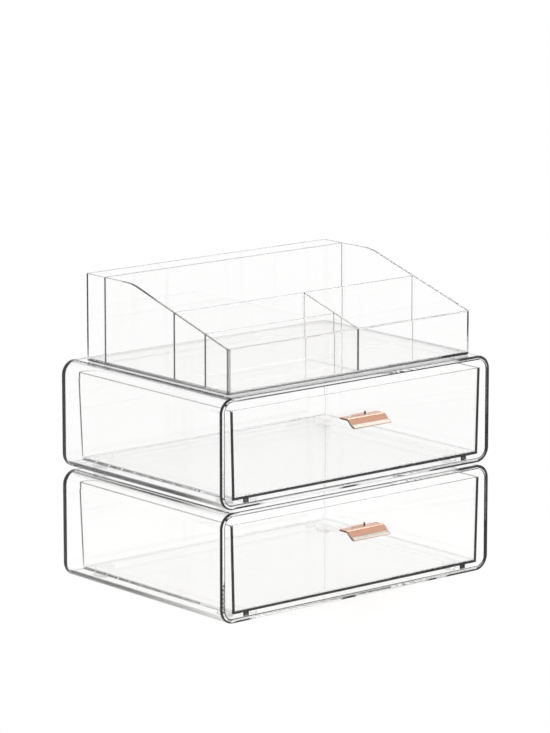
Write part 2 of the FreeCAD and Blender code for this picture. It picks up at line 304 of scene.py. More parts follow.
def cut(obj: bpy.types.Object, tools: Sequence[Loft], inside_shade: float) -> None:
    """Takes closed shapes out of a piece and gives the cut's own walls a painted edge shade.

    Args:
        obj: The piece.
        tools: What is taken out.
        inside_shade: Painted shade of the faces that the cut adds.
    """
    cutter = mesh_from(obj.name + "_cutter", tools)
    tool = new_object(obj.name + "_cutter", cutter)
    step = obj.modifiers.new("cut", "BOOLEAN")
    step.object = tool
    step.operation = "DIFFERENCE"
    step.solver = "EXACT"
    bpy.context.view_layer.update()
    graph = bpy.context.evaluated_depsgraph_get()
    result = obj.evaluated_get(graph)
    made = bpy.data.meshes.new_from_object(result, preserve_all_data_layers=True, depsgraph=graph)
    obj.modifiers.clear()
    old, obj.data = obj.data, made
    index = read(made.loops, "vertex_index", 1, np.int32)
    totals = read(made.polygons, "loop_total", 1, np.int32)
    starts = np.cumsum(totals) - totals
    co = read(made.vertices, "co", 3, np.float32).reshape(-1, 3)[index]
    corner = read(made.attributes[PAINTED_SHADING].data, "value", 1, np.float32)[index]
    made.attributes.remove(made.attributes[PAINTED_SHADING])
    for loft in tools:
        low, high = loft.rings.min((0, 1)) - CUT_MARGIN, loft.rings.max((0, 1)) + CUT_MARGIN
        within = ((co >= low) & (co <= high)).all(1)
        whole = np.repeat(np.minimum.reduceat(within, starts), totals)
        corner[within] = 0.0
        corner[whole] = inside_shade
    made.attributes.new(PAINTED_SHADING, "FLOAT", "CORNER").data.foreach_set("value", corner)
    bpy.data.meshes.remove(old)
    bpy.data.objects.remove(tool)
    bpy.data.meshes.remove(cutter)


def add_piece(
    node: str,
    form: str,
    lofts: Sequence[Loft],
    finish: "Finish",
    body: str,
    cuts: Sequence[Loft] = (),
    cut_shade: float = 0.0,
) -> None:
    """Builds a piece, dresses it and lets it ride on its body in place of its node.

    Args:
        node: The solid that it stands for.
        form: What is added to the node's name for the piece's.
        lofts: Its closed surfaces.
        finish: What it is made of.
        body: The body that carries it.
        cuts: Closed shapes that are taken out of it.
        cut_shade: Painted shade on the cuts' walls.
    """
    name = f"{node}_{form}"
    obj = new_object(name, mesh_from(name, lofts))
    if cuts:
        cut(obj, cuts, cut_shade)
    obj.data.set_sharp_from_angle(angle=math.radians(SHARP_ANGLE))
    weighted = obj.modifiers.new("even_normals", "WEIGHTED_NORMAL")
    weighted.keep_sharp = True
    weighted.weight = 100
    obj.data.materials.clear()
    obj.data.materials.append(finish.material())
    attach(obj, body)
    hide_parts(node)
    log.info("%s: %d faces on %s", name, len(obj.data.polygons), body)


# ---- finishes


def empty_tree(owner: bpy.types.Material | bpy.types.World) -> Tree:
    """Turns an owner's nodes on and clears them."""
    owner.use_nodes = True
    owner.node_tree.nodes.clear()
    return owner.node_tree


def add_node(tree: Tree, kind: str, inputs: dict | None = None, **settings: object) -> Items:
    """Adds a shader node.

    Args:
        tree: The tree that it goes into.
        kind: Its type, without the leading "ShaderNode".
        inputs: The socket that is linked to each input or the value that it gets, by its name or number.
        settings: The node's own properties.

    Returns:
        Its outputs.
    """
    node = tree.nodes.new("ShaderNode" + kind)
    for name, value in settings.items():
        setattr(node, name, value)
    for key, value in (inputs or {}).items():
        if isinstance(value, bpy.types.NodeSocket):
            tree.links.new(value, node.inputs[key])
        else:
            node.inputs[key].default_value = value
    return node.outputs


def blend(tree: Tree, factor: object, a: object, b: object) -> bpy.types.NodeSocket:
    """Mixes colour b over colour a by a factor that is kept within 0 and 1."""
    return add_node(tree, "Mix", {"Factor": factor, "A": a, "B": b}, data_type="RGBA")["Result"]


def painted_edge_shade_group() -> Tree:
    """Node group that paints clear plastic dark at its polished edges, a painted edge shade.

    The painted shading on the mesh mixes the painted shade colour over the tint. A slow noise gives the
    roughness of handled plastic, between polish and haze.
    """
    existing = bpy.data.node_groups.get("clear_painted_edge_shade")
    if existing:
        return existing
    tree = bpy.data.node_groups.new("clear_painted_edge_shade", "ShaderNodeTree")
    for label, kind, default in (
        ("Tint", "NodeSocketColor", (1, 1, 1, 1)),
        ("PaintedShade", "NodeSocketColor", (0, 0, 0, 1)),
        ("Polish", "NodeSocketFloat", 0.0),
        ("Haze", "NodeSocketFloat", 0.02),
    ):
        tree.interface.new_socket(label, in_out="INPUT", socket_type=kind).default_value = default
    for label, kind in (("Color", "NodeSocketColor"), ("Roughness", "NodeSocketFloat")):
        tree.interface.new_socket(label, in_out="OUTPUT", socket_type=kind)
    given = tree.nodes.new("NodeGroupInput").outputs
    result = tree.nodes.new("NodeGroupOutput").inputs
    where = add_node(tree, "TexCoord")["Object"]
    smudge = add_node(tree, "TexNoise", {"Vector": where, "Scale": 14.0, "Detail": 3.0})["Fac"]
    span = {"From Min": 0.35, "From Max": 0.75, "To Min": given["Polish"], "To Max": given["Haze"]}
    rough = add_node(tree, "MapRange", {"Value": smudge, **span})
    tone = add_node(tree, "Attribute", attribute_name=PAINTED_SHADING)["Fac"]
    tree.links.new(blend(tree, tone, given["Tint"], given["PaintedShade"]), result["Color"])
    tree.links.new(rough["Result"], result["Roughness"])
    return tree


@dataclass(frozen=True)
class Finish:
    """What a piece is made of, and the name of its slot."""

    name: str
    slot: str

    def material(self) -> bpy.types.Material:
        """The material, made on first use."""
        made = bpy.data.materials.get(self.name)
        if made is None:
            made = bpy.data.materials.new(self.name)
            self.wire(empty_tree(made))
        return made

    def wire(self, tree: Tree) -> None:
        """Adds the finish's nodes to an empty tree."""
        raise NotImplementedError


@dataclass(frozen=True)
class ClearPlastic(Finish):
    """Clear plastic that lets lamps through, with a painted dark shade at its polished edges."""

    tint: Triple = (0.995, 0.994, 0.993)
    # edge: colour of the painted shade at the polished edges.
    edge: Triple = (0.0005, 0.0004, 0.0004)
    polish: float = 0.0
    haze: float = 0.008
    ior: float = 1.49
    shadow: Triple = (0.994, 0.994, 0.993)

    def wire(self, tree: Tree) -> None:
        """Principled glass, swapped for a pale Transparent where lamps and diffuse light look through it."""
        look = {"Tint": (*self.tint, 1), "PaintedShade": (*self.edge, 1), "Polish": self.polish, "Haze": self.haze}
        edge = add_node(tree, "Group", look, node_tree=painted_edge_shade_group())
        surface = {"Base Color": edge["Color"], "Roughness": edge["Roughness"]}
        glass = add_node(tree, "BsdfPrincipled", {**surface, "IOR": self.ior, "Transmission Weight": 1.0})
        through = add_node(tree, "BsdfTransparent", {"Color": (*self.shadow, 1)})
        rays = add_node(tree, "LightPath")
        unseen = {0: rays["Is Shadow Ray"], 1: rays["Is Diffuse Ray"]}
        either = add_node(tree, "Math", unseen, operation="MAXIMUM")
        mix = add_node(tree, "MixShader", {"Fac": either[0], 1: glass[0], 2: through[0]})
        add_node(tree, "OutputMaterial", {"Surface": mix[0]})


@dataclass(frozen=True)
class PlatedMetal(Finish):
    """Polished rose-gold plating, with a faint grain along its length, a painted shade at its ends and a
    painted pale reflection on its lip.
    """

    colour: Triple = (0.80, 0.47, 0.34)
    deep: Triple = (0.69, 0.37, 0.26)
    # end: painted shade on the sheet's narrow ends.
    end: Triple = (0.58, 0.36, 0.28)
    # lip: painted pale reflection of the white surroundings on the lip.
    lip: Triple = (1.0, 0.93, 0.83)
    roughness: float = 0.16
    grain: float = 0.05
    grain_scale: Triple = (60.0, 900.0, 900.0)

    def wire(self, tree: Tree) -> None:
        """Metal with a noise stretched along X. Tones above 0 mix in the ends' painted shade, tones below 0
        the lip's painted pale reflection.
        """
        where = add_node(tree, "TexCoord")["Object"]
        stretch = add_node(tree, "Mapping", {"Vector": where, "Scale": self.grain_scale})[0]
        grain = add_node(tree, "TexNoise", {"Vector": stretch, "Scale": 1.0, "Detail": 4.0})["Fac"]
        span = {"To Min": self.roughness - self.grain, "To Max": self.roughness + self.grain}
        rough = add_node(tree, "MapRange", {"Value": grain, **span})["Result"]
        tone = add_node(tree, "Attribute", attribute_name=PAINTED_SHADING)["Fac"]
        # Tones below 0 paint the lip's pale reflection.
        pale = add_node(tree, "Math", {0: tone, 1: -1.0}, operation="MULTIPLY", use_clamp=True)[0]
        colour = blend(tree, grain, (*self.colour, 1), (*self.deep, 1))
        colour = blend(tree, tone, colour, (*self.end, 1))
        colour = blend(tree, pale, colour, (*self.lip, 1))
        metal = add_node(tree, "BsdfPrincipled", {"Metallic": 1.0, "Base Color": colour, "Roughness": rough})
        add_node(tree, "OutputMaterial", {"Surface": metal[0]})


CLEAR = ClearPlastic("polished_acrylic", "clear_acrylic")
# Rubber pads whose second colour is their painted edge shade.
FOOT_RUBBER = ClearPlastic(
    "foot_rubber", "clear_rubber", (0.80, 0.80, 0.81), (0.10, 0.10, 0.10), polish=0.25, haze=0.4, ior=1.42
)
ROSE_GOLD = PlatedMetal("rose_gold_plating", "rose_gold")


# ---- sub-assemblies


def foot_places(low: Vector, high: Vector) -> list[Pair]:
    """Where the feet stand under a casing in plan: left then right, front then back."""
    x = high.x - FOOT_INSET
    return [(side * x, y) for side in (-1, 1) for y in (low.y + FOOT_INSET, high.y - FOOT_INSET)]


@dataclass(frozen=True)
class PaintedFrontLine:
    """Painted shade of a line round a casing's open end.

    top and bottom are (x in mm, tone) steps, left and right are the sides' tones, and reach is how far a
    side's tone goes round its corners.
    """

    top: Steps
    bottom: Steps
    left: float = 1.0
    right: float = 1.0
    reach: float = 10.8 * MM

    def tone(self, loop: Array, low: Vector, high: Vector) -> Array:
        """The sides' painted shade as far as their corners reach, and the stepped painted shade between them.
        """
        x, z = loop[:, 0], loop[:, 1]
        top, bottom = (np.interp(x / MM, *zip(*steps)) for steps in (self.top, self.bottom))
        run = np.where(z > (low.z + high.z) / 2, top, bottom)
        return np.where(np.abs(x) > high.x - self.reach, np.where(x < 0, self.left, self.right), run)


@dataclass(frozen=True)
class PaintedShadeBand:
    """Painted dark band along one of a casing's long rounded edges on the left, a painted shade for its dark
    reflections.

    rise is 1 for the upper edge and -1 for the lower one, angle and spread place the band round the corner in
    degrees, and run holds (mm forward of the middle, tone) steps.
    """

    rise: int
    angle: float
    spread: float
    run: Steps


# Painted dark lines round the front rims: painted edge shade, broken into dashes of painted dark reflection
# along the top and bottom.
PAINTED_OUTER_LINES = {
    Level.LOWER: PaintedFrontLine(
        ((-128, 1.0), (-122, 0.08), (103, 0.08), (106, 1.0)),
        (
            *((-112, 1.0), (-106, 0.1), (-19, 0.1), (-17, 1.0), (-3, 1.0), (0, 0.1)),
            *((72, 0.1), (75, 1.0), (84, 1.0), (87, 0.1), (92, 0.1), (95, 1.0)),
        ),
    ),
    Level.UPPER: PaintedFrontLine(
        ((-129, 1.0), (-126, 0.06), (102, 0.06), (106, 1.0)),
        ((-101, 1.0), (-97, 0.12), (-21, 0.12), (-18, 1.0), (-1, 1.0), (2, 0.12), (73, 0.12), (77, 1.0)),
    ),
}
# Painted edge shade round the inside of the front rims.
PAINTED_INNER_LINES = {
    Level.LOWER: PaintedFrontLine(((-126, 0.6), (-120, 0.9)), ((-126, 0.3), (-118, 0.08)), 0.95, 0.0, 11.0 * MM),
    Level.UPPER: PaintedFrontLine(
        ((-126, 0.6), (-120, 1.0)), ((-118, 0.4), (-108, 0.65), (70, 0.65), (100, 0.1)), 0.95, 0.0, 11.0 * MM
    ),
}
# Painted dark bands of shade and reflection along the casings' long left edges.
PAINTED_SHADE_BANDS = {
    Level.LOWER: (
        PaintedShadeBand(-1, 61.0, 26.0, ((-109, 1.0), (-20, 1.0), (40, 0.8), (80, 0.5), (109, 0.3))),
        PaintedShadeBand(1, 66.0, 6.0, ((-109, 0.8), (-20, 1.0), (40, 1.0), (70, 0.3))),
    ),
    Level.UPPER: (
        PaintedShadeBand(-1, 61.0, 24.0, ((-109, 1.0), (50, 1.0), (80, 0.5), (109, 0.2))),
        PaintedShadeBand(1, 68.0, 3.6, ((-109, 0.6), (0, 0.6), (60, 0.9), (92, 1.0))),
    ),
}


@dataclass
class Sleeve:
    """Casing of one drawer unit: a long rounded shell, open at the front, with dimples in its top."""

    level: Level
    side_wall: float = 4.2 * MM
    top_wall: float = 3.4 * MM
    back_wall: float = 3.0 * MM
    corner: float = 12.0 * MM
    back_edge: float = 2.0 * MM
    rim_edge: float = 0.8 * MM
    inner_back_edge: float = 0.6 * MM
    dimple: float = 6.4 * MM
    dimple_depth: float = 1.0 * MM
    stations: int = 14
    steps: tuple[int, int] = (24, 80)
    # Painted edge shade of the back edge's rings, and where across the rim face the painted lines change.
    back_tones: tuple[float, ...] = (0.0, 0.0, 0.4, 1.0, 1.0, 0.4)
    rim_shares: tuple[float, ...] = (0.14, 0.24, 0.42, 0.52, 0.74, 0.86)
    painted_band_end: float = 88.0

    def __post_init__(self) -> None:
        """Reads the casing's box."""
        self.node = self.level.value + "_sleeve"
        self.low, self.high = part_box(self.node)

    def outer_loop(self, inset: float) -> Array:
        """Outer outline in XZ, inset."""
        lo, hi = self.low, self.high
        return outline(rectangle((lo.x, lo.z), (hi.x, hi.z)), self.corner, inset, *self.steps)

    def inner_loop(self, outset: float) -> Array:
        """Inner outline in XZ, widened by the outset."""
        lo, hi = self.low, self.high
        a = (lo.x + self.side_wall, lo.z + CASING_FLOOR)
        b = (hi.x - self.side_wall, hi.z - self.top_wall)
        return outline(rectangle(a, b), self.corner - self.side_wall, -outset, *self.steps)

    def painted_shade_bands(self, loop: Array, y: float) -> Array:
        """Painted shade of the casing's long rounded edges on the outer outline at one station.

        A point's angle on its corner's arc is atan2(rise, run) from the arc's centre. A painted band is full
        within half its spread of its angle, gone at one and a half spreads, and left out past the arc's end.
        """
        lo, hi = self.low, self.high
        x, z = loop[:, 0], loop[:, 1] - (lo.z + hi.z) / 2
        half, tall = hi.x - self.corner, (hi.z - lo.z) / 2 - self.corner
        angle = np.degrees(np.arctan2(np.clip(np.abs(z) - tall, 0, None), np.clip(np.abs(x) - half, 0, None)))
        tone = np.zeros(len(loop))
        for painted_band in PAINTED_SHADE_BANDS[self.level]:
            there = (x < 0) & (np.sign(z) == painted_band.rise) & (angle < self.painted_band_end)
            band = np.clip(1.5 - np.abs(angle - painted_band.angle) / painted_band.spread, 0, 1)
            tone = np.maximum(tone, there * band * np.interp(-y / MM, *zip(*painted_band.run)))
        return tone

    def loft(self) -> Loft:
        """Carries the outline from the back, forward outside, round the rim and back along the inside."""
        front, back = self.low.y, self.high.y
        plan, hole = self.outer_loop(0.0), self.inner_loop(0.0)
        outer_tone = PAINTED_OUTER_LINES[self.level].tone(plan, self.low, self.high)
        inner_tone = PAINTED_INNER_LINES[self.level].tone(hole, self.low, self.high)
        # Where the outer painted line is dark it spreads as painted shade over the rim face, widest on the
        # right.
        broad = outer_tone * (outer_tone > 0.5) * (plan[:, 0] > self.low.x + self.corner)
        right = broad * (plan[:, 0] > self.high.x - self.corner)

        inset, rise = quarter(self.back_edge, 5)
        loops = [self.outer_loop(i) for i in inset]
        ys = list(back - rise)
        tones = list(self.back_tones)

        line_y = front + self.rim_edge + EDGE_LINE
        body = np.linspace(back - self.back_edge - 0.4 * MM, line_y + 0.2 * MM, self.stations)
        loops += [plan] * (len(body) + 1)
        ys += [*body, line_y]
        tones += [self.painted_shade_bands(plan, y) for y in body] + [outer_tone]

        rim, lift = quarter(self.rim_edge, 4)
        loops += [self.outer_loop(i) for i in rim[::-1]]
        ys += list(front + lift[::-1])
        tones += [outer_tone] * len(rim)

        outside, inside = self.outer_loop(self.rim_edge), self.inner_loop(self.rim_edge)
        loops += [outside + (inside - outside) * share for share in self.rim_shares]
        ys += [front] * len(self.rim_shares)
        tones += [outer_tone, broad, broad, right, right, np.maximum(inner_tone, right * 0.9)]

        loops += [self.inner_loop(i) for i in rim] + [hole] * 2
        ys += [*(front + lift), front + self.rim_edge + GUARD, front + self.rim_edge + 2 * GUARD]
        tones += [inner_tone] * (len(rim) + 1) + [0.0]

        deep = back - self.back_wall
        turn, fall = quarter(self.inner_back_edge, 3)
        loops += [self.inner_loop(-i) for i in (0.0, *turn[::-1], self.inner_back_edge + GUARD)]
        ys += [deep - self.inner_back_edge - GUARD, *(deep - fall[::-1]), deep]
        tones += [0.0] + [0.2] * len(turn) + [0.0]
        return Loft.through(loops, ys, Plane.XZ, tones)

    def build(self) -> None:
        """Makes the casing and takes its dimples out."""
        body, places = self.level.value + "_unit", foot_places(self.low, self.high)
        bottom, over = self.high.z - self.dimple_depth, self.high.z + 2 * MM
        dimples = discs(places, self.dimple, bottom, over, 0.2 * MM, 0.0)
        # The dimples' walls get a light painted shade.
        add_piece(self.node, "shell", [self.loft()], CLEAR, body, dimples, 0.25)


@dataclass
class Feet:
    """Round clear pads under a casing."""

    level: Level
    edge: float = 0.6 * MM

    def build(self) -> None:
        """Makes the four pads, a hair short of what they stand on."""
        node = self.level.value + "_feet"
        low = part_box(node)[0].z + BOND_GAP
        lo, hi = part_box(self.level.value + "_sleeve")
        # The pads' rims carry a painted edge shade.
        pads = discs(foot_places(lo, hi), PAD_RADIUS, low, lo.z - BOND_GAP, self.edge, 0.5)
        add_piece(node, "pads", pads, FOOT_RUBBER, self.level.value + "_unit")


@dataclass
class StopPegs:
    """The two short pegs that stand in the casing's floor."""

    level: Level
    edge: float = 0.4 * MM

    def build(self) -> None:
        """Makes both pegs from the floor up."""
        node = self.level.value + "_drawer_stops"
        lo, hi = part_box(node)
        radius = (hi.y - lo.y) / 2
        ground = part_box(self.level.value + "_sleeve")[0].z + CASING_FLOOR + BOND_GAP
        places = [(side * (hi.x - radius), (lo.y + hi.y) / 2) for side in (-1, 1)]
        # The pegs' rims carry a light painted edge shade.
        pegs = discs(places, radius, ground, hi.z, self.edge, 0.12)
        add_piece(node, "pegs", pegs, CLEAR, self.level.value + "_unit")


@dataclass
class DrawerTub:
    """Open drawer whose side and back walls lean out, with a slot for the handle's tongue."""

    level: Level
    wall: float = 2.2 * MM
    floor: float = 2.2 * MM
    draft: float = 1.8 * MM
    back_corner: float = 3.5 * MM
    front_corner: float = 1.6 * MM
    bottom_edge: float = 1.0 * MM
    rim_edge: float = 0.4 * MM
    inner_fillet: float = 0.8 * MM
    # foot_line tops the painted dark line along the drawer's foot; left_reach and right_reach bound the
    # painted shade round the front corners.
    foot_line: float = 2.4 * MM
    near: tuple[float, ...] = (0.3 * MM, 0.6 * MM, 2.0 * MM, 2.3 * MM)
    left_reach: Pair = (2.0 * MM, 1.04 * MM)
    right_reach: Pair = (3.7 * MM, 1.7 * MM)
    slot_half_width: float = 7.4 * MM
    slot_depth: float = 1.65 * MM
    slot_rise: float = 1.5 * MM

    def __post_init__(self) -> None:
        """Reads the drawer's box."""
        self.node = self.level.value + "_drawer_tub"
        self.low, self.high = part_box(self.node)

    def loop(self, height: float, inset: float) -> Array:
        """Outline in XY at a height above the underside; the lean grows evenly with height."""
        lean = self.draft * (1 - height / (self.high.z - self.low.z))
        a = (self.low.x + lean + inset, self.low.y + inset)
        b = (self.high.x - lean - inset, self.high.y - lean - inset)
        f, r = (max(c - inset, GUARD) for c in (self.front_corner, self.back_corner))
        return outline(rectangle(a, b), [f, f, r, r], 0.0, 10, 12, self.near)

    def tone(self, loop: Array, dark: float, pale: float, front_pale: float = 0.0) -> Array:
        """Painted shade: dark within the (x, y) reaches of both front edges, lighter round the sides and the
        back.
        """
        x, y = loop[:, 0] - loop[:, 0].min(), loop[:, 1] - loop[:, 1].min()
        left = (x < self.left_reach[0]) & (y < self.left_reach[1])
        edge = left | ((x.max() - x < self.right_reach[0]) & (y < self.right_reach[1]))
        return np.where(edge, dark, np.where(y < GUARD, front_pale, pale))

    def loft(self) -> Loft:
        """Carries the outline under the floor, up outside, over the rim and down inside."""
        tall = self.high.z - self.low.z
        inset, rise = quarter(self.bottom_edge, 4)
        over, fall = quarter(self.rim_edge, 3)
        turn, lift = quarter(self.inner_fillet, 3)
        below_rim = tall - self.rim_edge - GUARD
        heights = [0.0, *rise, self.foot_line, self.foot_line + 0.2 * MM, below_rim]
        insets = [1.5 * MM, *inset, 0.0, 0.0, 0.0]
        heights += [*(tall - fall[::-1]), *(tall - fall)]
        insets += [*over[::-1], *(self.wall - over)]
        heights += [below_rim, self.floor + self.inner_fillet + GUARD]
        heights += [*(self.floor + lift[::-1]), self.floor]
        insets += [self.wall] * 2 + [*(self.wall + turn[::-1]), self.wall + self.inner_fillet + GUARD]
        loops = [self.loop(h, i) for h, i in zip(heights, insets)]
        plan = self.loop(tall / 2, 0.0)
        # Painted edge shade of each ring.
        tones: list = [0.0] + [self.tone(plan, 1.0, 0.08, 1.0)] * (len(inset) + 1)
        tones += [self.tone(plan, 1.0, 0.0)] * 2
        tones += [self.tone(plan, 0.7, 0.25, 0.0)] * (2 * len(over)) + [0.0, 0.0]
        tones += [0.1] * len(turn) + [0.0]
        return Loft.through(loops, [self.low.z + h for h in heights], Plane.XY, tones)

    def build(self) -> None:
        """Makes the drawer and cuts the tongue's slot."""
        body = self.level.value + "_drawer"
        half, top = self.slot_half_width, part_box(self.level.value + "_handle")[1].z
        corners = rectangle((-half, top - self.slot_depth), (half, top + self.slot_rise))
        start, end = self.low.y - 1.0 * MM, self.low.y + self.wall + 0.6 * MM
        slot = slab(corners, 0.1 * MM, start, end, Plane.XZ, 0.02 * MM, arc_steps=2)
        # The slot's walls are painted dark, a painted shade.
        add_piece(self.node, "shell", [self.loft()], CLEAR, body, [slot], 0.85)


@dataclass
class DrawerUnderside:
    """Runner strips and catch blocks under a drawer."""

    level: Level
    runner_width: float = 5.2 * MM
    catch_width: float = 8.0 * MM
    edge: float = 0.5 * MM
    end_edge: float = 0.4 * MM
    painted_dark_width: float = 0.7 * MM

    def strip(self, low: Pair, high: Pair, front: float, back: float) -> Loft:
        """Straight strip with a painted shade at the two upright edges of its front end only."""
        inset, rise = quarter(self.end_edge, 3)
        insets = np.concatenate([[1.0 * MM], inset, [0.0, 0.0], inset[::-1]])
        ends = [front + EDGE_LINE, front + EDGE_LINE + GUARD]
        stations = np.concatenate([[front], front + rise, ends, back - rise[::-1]])
        near = (0.15 * MM, 0.3 * MM)
        loops = [outline(rectangle(low, high), self.edge, i, 4, 2, near) for i in insets]
        across = np.abs(loops[len(inset)][:, 0] - (low[0] + high[0]) / 2)
        upright = 1.0 * (across > (high[0] - low[0]) / 2 - self.painted_dark_width)
        tones = [0.0] + [upright] * (len(inset) + 1) + [0.0] * (len(inset) + 1)
        return Loft.through(loops, stations, Plane.XZ, tones)

    def spans(self, reach: float, width: float) -> list[list[float]]:
        """The (low, high) x of a pair of blocks, left then right, whose outer faces are at the reach."""
        return [sorted((side * (reach - width), side * reach)) for side in (-1, 1)]

    def build(self) -> None:
        """Makes both strips, then both blocks."""
        body = self.level.value + "_drawer"
        node = self.level.value + "_drawer_runners"
        lo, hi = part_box(node)
        foot, top = lo.z + BOND_GAP, hi.z - BOND_GAP
        strips = [self.strip((a, foot), (b, top), lo.y, hi.y) for a, b in self.spans(hi.x, self.runner_width)]
        add_piece(node, "strips", strips, CLEAR, body)
        node = self.level.value + "_drawer_catches"
        lo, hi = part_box(node)
        plans = [rectangle((a, lo.y), (b, hi.y)) for a, b in self.spans(hi.x, self.catch_width)]
        top = hi.z - BOND_GAP
        # The blocks' sides carry a light painted edge shade.
        blocks = [slab(plan, self.edge, lo.z, top, Plane.XY, 0.3 * MM, 0.2, arc_steps=4) for plan in plans]
        add_piece(node, "blocks", blocks, CLEAR, body)


@dataclass
class Handle:
    """Bent rose-gold lip with a tongue that passes through the drawer's front."""

    level: Level
    thickness: float = 1.6 * MM
    steep_angle: float = 42.0
    lip_angle: float = 27.0
    steep_run: float = 5.8 * MM
    lip_run: float = 4.0 * MM
    bend: float = 3.7 * MM
    edge: float = 0.4 * MM
    tip: float = 0.35 * MM
    run_steps: int = 24
    painted_dark_end: float = 0.7 * MM
    tongue_width: float = 14.2 * MM
    tongue_length: float = 3.0 * MM

    def __post_init__(self) -> None:
        """Reads the handle's box and where the drawer's front is."""
        self.node = self.level.value + "_handle"
        self.low, self.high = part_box(self.node)
        self.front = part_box(self.level.value + "_drawer_tub")[0].y

    def path(self) -> tuple[Array, Array]:
        """Middle line of the sheet from the drawer to the lip, as points and directions in YZ.

        Straight runs joined by arcs of the bend's radius: the direction turns evenly with the distance gone
        along each arc, and the points are the running sum of the direction times the step.

        Returns:
            (n, 2) points and (n, 2) unit directions.
        """
        steep, lip = math.radians(self.steep_angle), math.radians(self.lip_angle)
        reach = self.front - self.low.y
        flat = reach - self.steep_run * math.cos(steep) - self.lip_run * math.cos(lip)
        t1, t2 = self.bend * math.tan(steep / 2), self.bend * math.tan((steep - lip) / 2)
        runs = [(flat - t1, 0.0, 0.0), (self.bend * steep, 0.0, steep)]
        runs += [(self.steep_run - t1 - t2, steep, steep), (self.bend * (steep - lip), steep, lip)]
        runs += [(self.lip_run - t2 - self.tip, lip, lip)]
        share = (np.arange(self.run_steps) + 0.5) / self.run_steps
        angle = np.concatenate([a + (b - a) * share for _, a, b in runs])
        length = np.concatenate([np.full(self.run_steps, run / self.run_steps) for run, _, _ in runs])
        heading = np.stack([-np.cos(angle), -np.sin(angle)], 1)
        points = np.concatenate([np.zeros((1, 2)), np.cumsum(heading * length[:, None], 0)])
        at = np.concatenate([[0.0], (angle[1:] + angle[:-1]) / 2, [lip]])
        return points, np.stack([-np.cos(at), -np.sin(at)], 1)

    def lip(self) -> Loft:
        """Carries the sheet's rounded section, X across and the sheet's normal up, along its middle line.

        The last run and the tip carry a painted pale reflection on top, and the sheet's two ends a painted
        shade.
        """
        points, heading = self.path()
        start = np.array([self.front, self.high.z - self.thickness / 2])
        half_x, half_t = (self.high.x - self.low.x) / 2, self.thickness / 2
        inset, rise = quarter(self.edge, 4)
        ends = len(points) + len(inset) - 1
        insets = np.concatenate([np.zeros(len(points) - 1), inset[::-1]])
        extra = np.concatenate([np.zeros(len(points) - 1), self.edge - rise[::-1]])
        points = np.concatenate([points, np.repeat(points[-1:], ends - len(points), 0)])
        heading = np.concatenate([heading, np.repeat(heading[-1:], ends - len(heading), 0)])
        centre = start + points + heading * extra[:, None]
        normal = np.stack([heading[:, 1], -heading[:, 0]], 1)
        corners, near = rectangle((-half_x, -half_t), (half_x, half_t)), (0.5 * MM, 0.8 * MM)
        sections = np.stack([outline(corners, self.edge, i, 5, 1, near) for i in insets])
        rings = np.empty((*sections.shape[:2], 3))
        rings[:, :, 0] = sections[:, :, 0]
        rings[:, :, 1:] = centre[:, None, :] + normal[:, None, :] * sections[:, :, 1:]
        rings[1:, :, 1] += self.low.y - rings[:, :, 1].min()
        ring = np.arange(ends)[:, None]
        # Painted pale reflection on the lip's top; painted shade on both ends.
        upper = (sections[:, :, 1] > -0.5 * half_t) | (ring >= ends - len(inset))
        pale = (ring > ends - len(inset) - self.run_steps) & upper
        return Loft(rings, np.where(np.abs(rings[:, :, 0]) > half_x - self.painted_dark_end, 0.8, -1.0 * pale))

    def tongue(self) -> Loft:
        """Flat tab behind the lip, through the slot."""
        half, top = self.tongue_width / 2, self.high.z
        plan = rectangle((-half, self.front - 0.3 * MM), (half, self.front + self.tongue_length))
        return slab(plan, 0.5 * MM, top - self.thickness, top, Plane.XY, 0.3 * MM, arc_steps=4)

    def build(self) -> None:
        """Makes the lip and its tongue as one piece."""
        add_piece(self.node, "lip", [self.lip(), self.tongue()], ROSE_GOLD, self.level.value + "_drawer")


